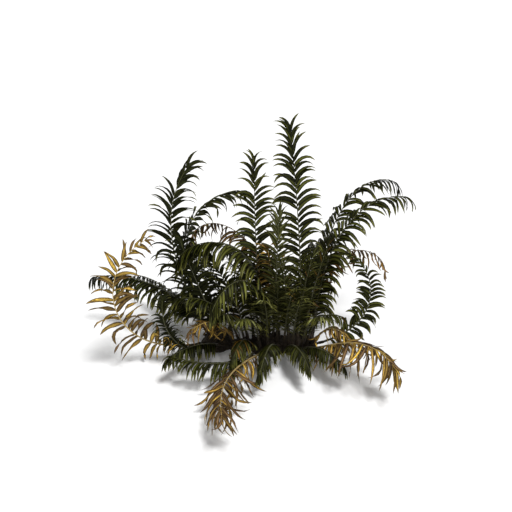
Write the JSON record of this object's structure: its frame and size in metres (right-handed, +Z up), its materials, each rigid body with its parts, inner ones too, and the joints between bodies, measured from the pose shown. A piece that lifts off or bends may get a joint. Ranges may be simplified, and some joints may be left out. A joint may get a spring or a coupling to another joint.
{
  "type": "giant leather fern",
  "caption": "Rooted garden clump of long leathery fronds, upright and arching, mostly dark green with some gold and withered ones, on a short creeping stem cut flat at the ground.",
  "frame": {"origin": "on the flat cut under the stem's middle crown, level with the ground", "axes": "+Z up; -Y towards the side that the picture shows; +X to that viewer's right"},
  "size_m": [2.3799, 2.2605, 1.7234],
  "materials": {
    "stem": "rough fibrous bark with old stalk bases",
    "green_frond": "leathery, faintly glossy dark green",
    "gold_frond": "dry gold with brown edges",
    "withered_frond": "dry, dull brown"
  },
  "bodies": {
    "root": {"stem": "stem", "frond_right_tall": "green_frond", "frond_middle_tall": "green_frond", "frond_left_tall": "green_frond", "frond_left_arching_lower": "green_frond", "frond_left_arching_upper": "green_frond", "frond_right_high_back_lower": "green_frond", "frond_right_high_back_upper": "green_frond", "frond_right_high_front_lower": "green_frond", "frond_right_high_front_upper": "green_frond", "frond_front_left_arch_lower": "green_frond", "frond_front_left_arch_upper": "green_frond", "frond_left_gold_lower": "gold_frond", "frond_left_gold_middle": "gold_frond", "frond_left_gold_upper": "gold_frond", "frond_left_spreading": "green_frond", "frond_right_curled_lower": "green_frond", "frond_right_curled_middle": "green_frond", "frond_right_curled_upper": "green_frond", "frond_front_gold": "gold_frond", "frond_right_gold": "gold_frond", "frond_middle_young": "green_frond", "frond_left_withered_lower": "withered_frond", "frond_left_withered_upper": "withered_frond", "frond_right_withered": "withered_frond", "frond_front_upright": "green_frond", "frond_right_upright": "green_frond", "frond_left_upright": "green_frond", "frond_front_middle_arch": "green_frond", "frond_front_left_low": "green_frond", "frond_left_small": "green_frond", "frond_front_right_low": "green_frond", "frond_front_right_side": "green_frond", "frond_right_inner": "green_frond", "frond_front_inner": "green_frond", "frond_front_short": "green_frond", "frond_left_inner": "green_frond", "frond_left_old": "gold_frond", "frond_left_young": "green_frond", "frond_middle_low": "green_frond", "frond_front_young": "green_frond", "frond_right_young": "green_frond", "frond_right_core": "green_frond", "frond_middle_gold": "gold_frond", "frond_left_core": "green_frond", "frond_middle_core": "green_frond", "frond_front_arch": "green_frond", "frond_left_front": "green_frond", "frond_right_old": "gold_frond", "frond_middle_fan": "green_frond", "frond_right_fan": "green_frond", "frond_left_fan": "green_frond", "frond_back_right": "green_frond", "frond_back_middle": "green_frond", "frond_back_left": "green_frond", "frond_back_right_low": "green_frond", "frond_back_left_gold": "gold_frond", "frond_back_inner": "green_frond", "frond_back_left_low": "green_frond", "frond_back_right_side": "green_frond"}
  },
  "joints": []
}
